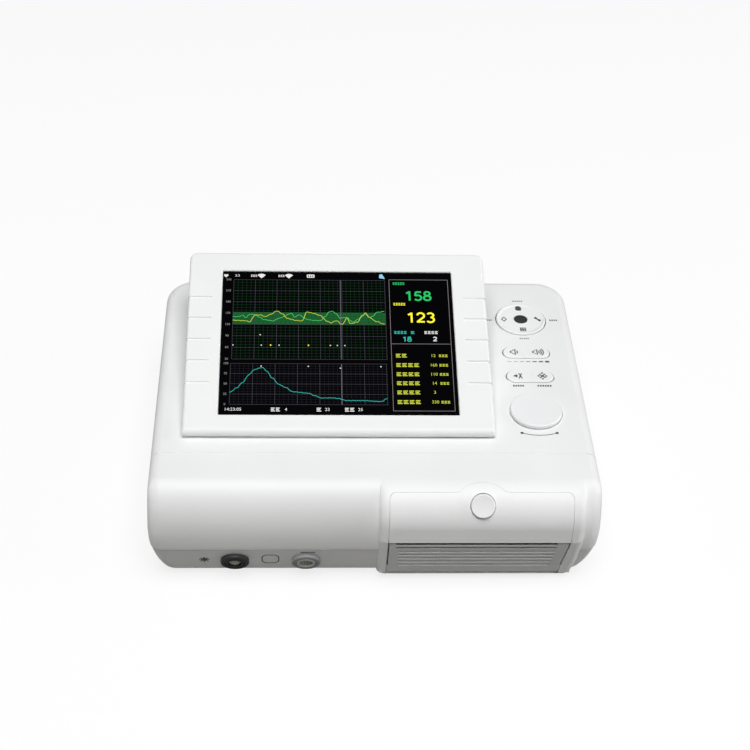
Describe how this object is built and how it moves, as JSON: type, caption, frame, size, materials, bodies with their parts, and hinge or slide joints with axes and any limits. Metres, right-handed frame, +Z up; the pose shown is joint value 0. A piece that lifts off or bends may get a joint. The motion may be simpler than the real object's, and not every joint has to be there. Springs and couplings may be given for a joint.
{
  "type": "cardiotocograph",
  "caption": "Desktop cardiotocograph with a tilting colour screen, a column of keys and a knob, front probe sockets and a chart printer behind a drop-down door.",
  "frame": {"origin": "on the table under the middle of the bounding box, at the soles of the feet", "axes": "+X to the keys' side, +Y from the front band to the back wall, +Z up"},
  "size_m": [0.298, 0.243, 0.1323],
  "materials": {
    "case_plastic": "fine white satin moulding",
    "key_plastic": "white satin keycap",
    "dark_plastic": "black moulding",
    "grey_plastic": "grey moulding",
    "pale_plastic": "pale socket insert",
    "foot_rubber": "dull black",
    "roller_rubber": "ground black",
    "lamp_lens": "dark lens, unlit",
    "steel": "plain",
    "screen_glass": "dark display window",
    "circuit_board": "green board with its parts",
    "battery_wrap": "blue sleeve",
    "chart_paper": "folded chart paper",
    "head_metal": "plain",
    "gear_plastic": "natural nylon"
  },
  "bodies": {
    "case": {"base_housing": "case_plastic", "front_cover": "case_plastic", "top_cover": "case_plastic", "foot_front_left": "foot_rubber", "foot_front_right": "foot_rubber", "foot_back_left": "foot_rubber", "foot_back_right": "foot_rubber", "battery_door": "case_plastic", "battery_pack": "battery_wrap", "main_board": "circuit_board", "power_board": "circuit_board", "speaker": "dark_plastic", "probe_socket_core": "pale_plastic", "probe_socket_nut": "dark_plastic", "toco_socket_core": "pale_plastic", "toco_socket_nut": "grey_plastic", "power_lamp": "lamp_lens", "power_inlet": "dark_plastic", "switch_housing": "dark_plastic", "data_port": "steel", "hinge_bracket_left": "steel", "hinge_bracket_right": "steel", "key_board": "circuit_board", "encoder_body": "dark_plastic", "printer_chassis": "grey_plastic", "paper_pack": "chart_paper", "print_head": "head_metal", "motor_bracket": "steel", "feed_motor": "steel"},
    "screen": {"screen_bezel": "case_plastic", "screen_window": "screen_glass", "display_module": "grey_plastic", "screen_back": "case_plastic", "hinge_pin_left": "steel", "hinge_pin_right": "steel"},
    "door": {"door_cover": "case_plastic", "door_front": "case_plastic", "door_frame": "grey_plastic", "door_pin_left": "steel", "door_pin_right": "steel"},
    "latch": {"latch_button": "key_plastic"},
    "platen": {"platen_roller": "roller_rubber", "platen_shaft": "steel", "platen_gear": "gear_plastic"},
    "idler": {"idler_gear": "gear_plastic"},
    "pinion": {"motor_pinion": "gear_plastic"},
    "gimbal": {"nav_gimbal": "dark_plastic"},
    "pad": {"nav_pad": "key_plastic"},
    "ok": {"ok_key": "dark_plastic"},
    "volume": {"volume_rocker": "key_plastic"},
    "event": {"event_rocker": "key_plastic"},
    "collar": {"encoder_collar": "steel"},
    "knob": {"control_knob": "key_plastic", "encoder_shaft": "steel"},
    "mains_rocker": {"switch_rocker": "grey_plastic"}
  },
  "joints": [
    {"name": "screen_tilt", "type": "hinge", "parent": "case", "child": "screen", "pos_m": [-0.0235, -0.0568, 0.0878], "axis": [1, 0, 0], "range_deg": [-16.1, 43.9]},
    {"name": "door_swing", "type": "hinge", "parent": "case", "child": "door", "pos_m": [0.0686, -0.10869, 0.011], "axis": [1, 0, 0], "range_deg": [0, 60]},
    {"name": "latch_press", "type": "slide", "parent": "door", "child": "latch", "axis": [0, 0.866, -0.5], "range_m": [0, 0.0025], "stiffness_N_per_m": 400, "springref_m": -0.0015},
    {"name": "platen_turn", "type": "hinge", "parent": "door", "child": "platen", "pos_m": [0.0686, -0.1108, 0.0485], "axis": [1, 0, 0], "continuous": true},
    {"name": "idler_turn", "type": "hinge", "parent": "case", "child": "idler", "pos_m": [0.1266, -0.09153, 0.04958], "axis": [1, 0, 0], "continuous": true},
    {"name": "pinion_turn", "type": "hinge", "parent": "case", "child": "pinion", "pos_m": [0.1266, -0.08067, 0.03664], "axis": [1, 0, 0], "continuous": true},
    {"name": "nav_tilt_front", "type": "hinge", "parent": "case", "child": "gimbal", "pos_m": [0.1118, 0.0712, 0.0794], "axis": [1, 0, 0], "range_deg": [-3, 3], "stiffness_Nm_per_rad": 0.5},
    {"name": "nav_tilt_side", "type": "hinge", "parent": "gimbal", "child": "pad", "pos_m": [0.1118, 0.0712, 0.0794], "axis": [0, 1, 0], "range_deg": [-3, 3], "stiffness_Nm_per_rad": 0.5},
    {"name": "ok_press", "type": "slide", "parent": "pad", "child": "ok", "axis": [0, 0, -1], "range_m": [0, 0.0008], "stiffness_N_per_m": 800, "springref_m": -0.001},
    {"name": "volume_rock", "type": "hinge", "parent": "case", "child": "volume", "pos_m": [0.1118, 0.0325, 0.0811], "axis": [0, 1, 0], "range_deg": [-3, 3], "stiffness_Nm_per_rad": 0.5},
    {"name": "event_rock", "type": "hinge", "parent": "case", "child": "event", "pos_m": [0.1118, 0.0057, 0.0811], "axis": [0, 1, 0], "range_deg": [-3, 3], "stiffness_Nm_per_rad": 0.5},
    {"name": "knob_press", "type": "slide", "parent": "case", "child": "collar", "axis": [0, 0, -1], "range_m": [0, 0.0008], "stiffness_N_per_m": 1500, "springref_m": -0.001},
    {"name": "knob_turn", "type": "hinge", "parent": "collar", "child": "knob", "pos_m": [0.1118, -0.0319, 0.0834], "axis": [0, 0, 1], "continuous": true},
    {"name": "mains_rock", "type": "hinge", "parent": "case", "child": "mains_rocker", "pos_m": [0.062, 0.1174, 0.022], "axis": [1, 0, 0], "range_deg": [-16, 0]}
  ],
  "couplings": [
    {"joint": "idler_turn", "follows": "platen_turn", "ratio": -0.6},
    {"joint": "pinion_turn", "follows": "platen_turn", "ratio": 1.5}
  ]
}
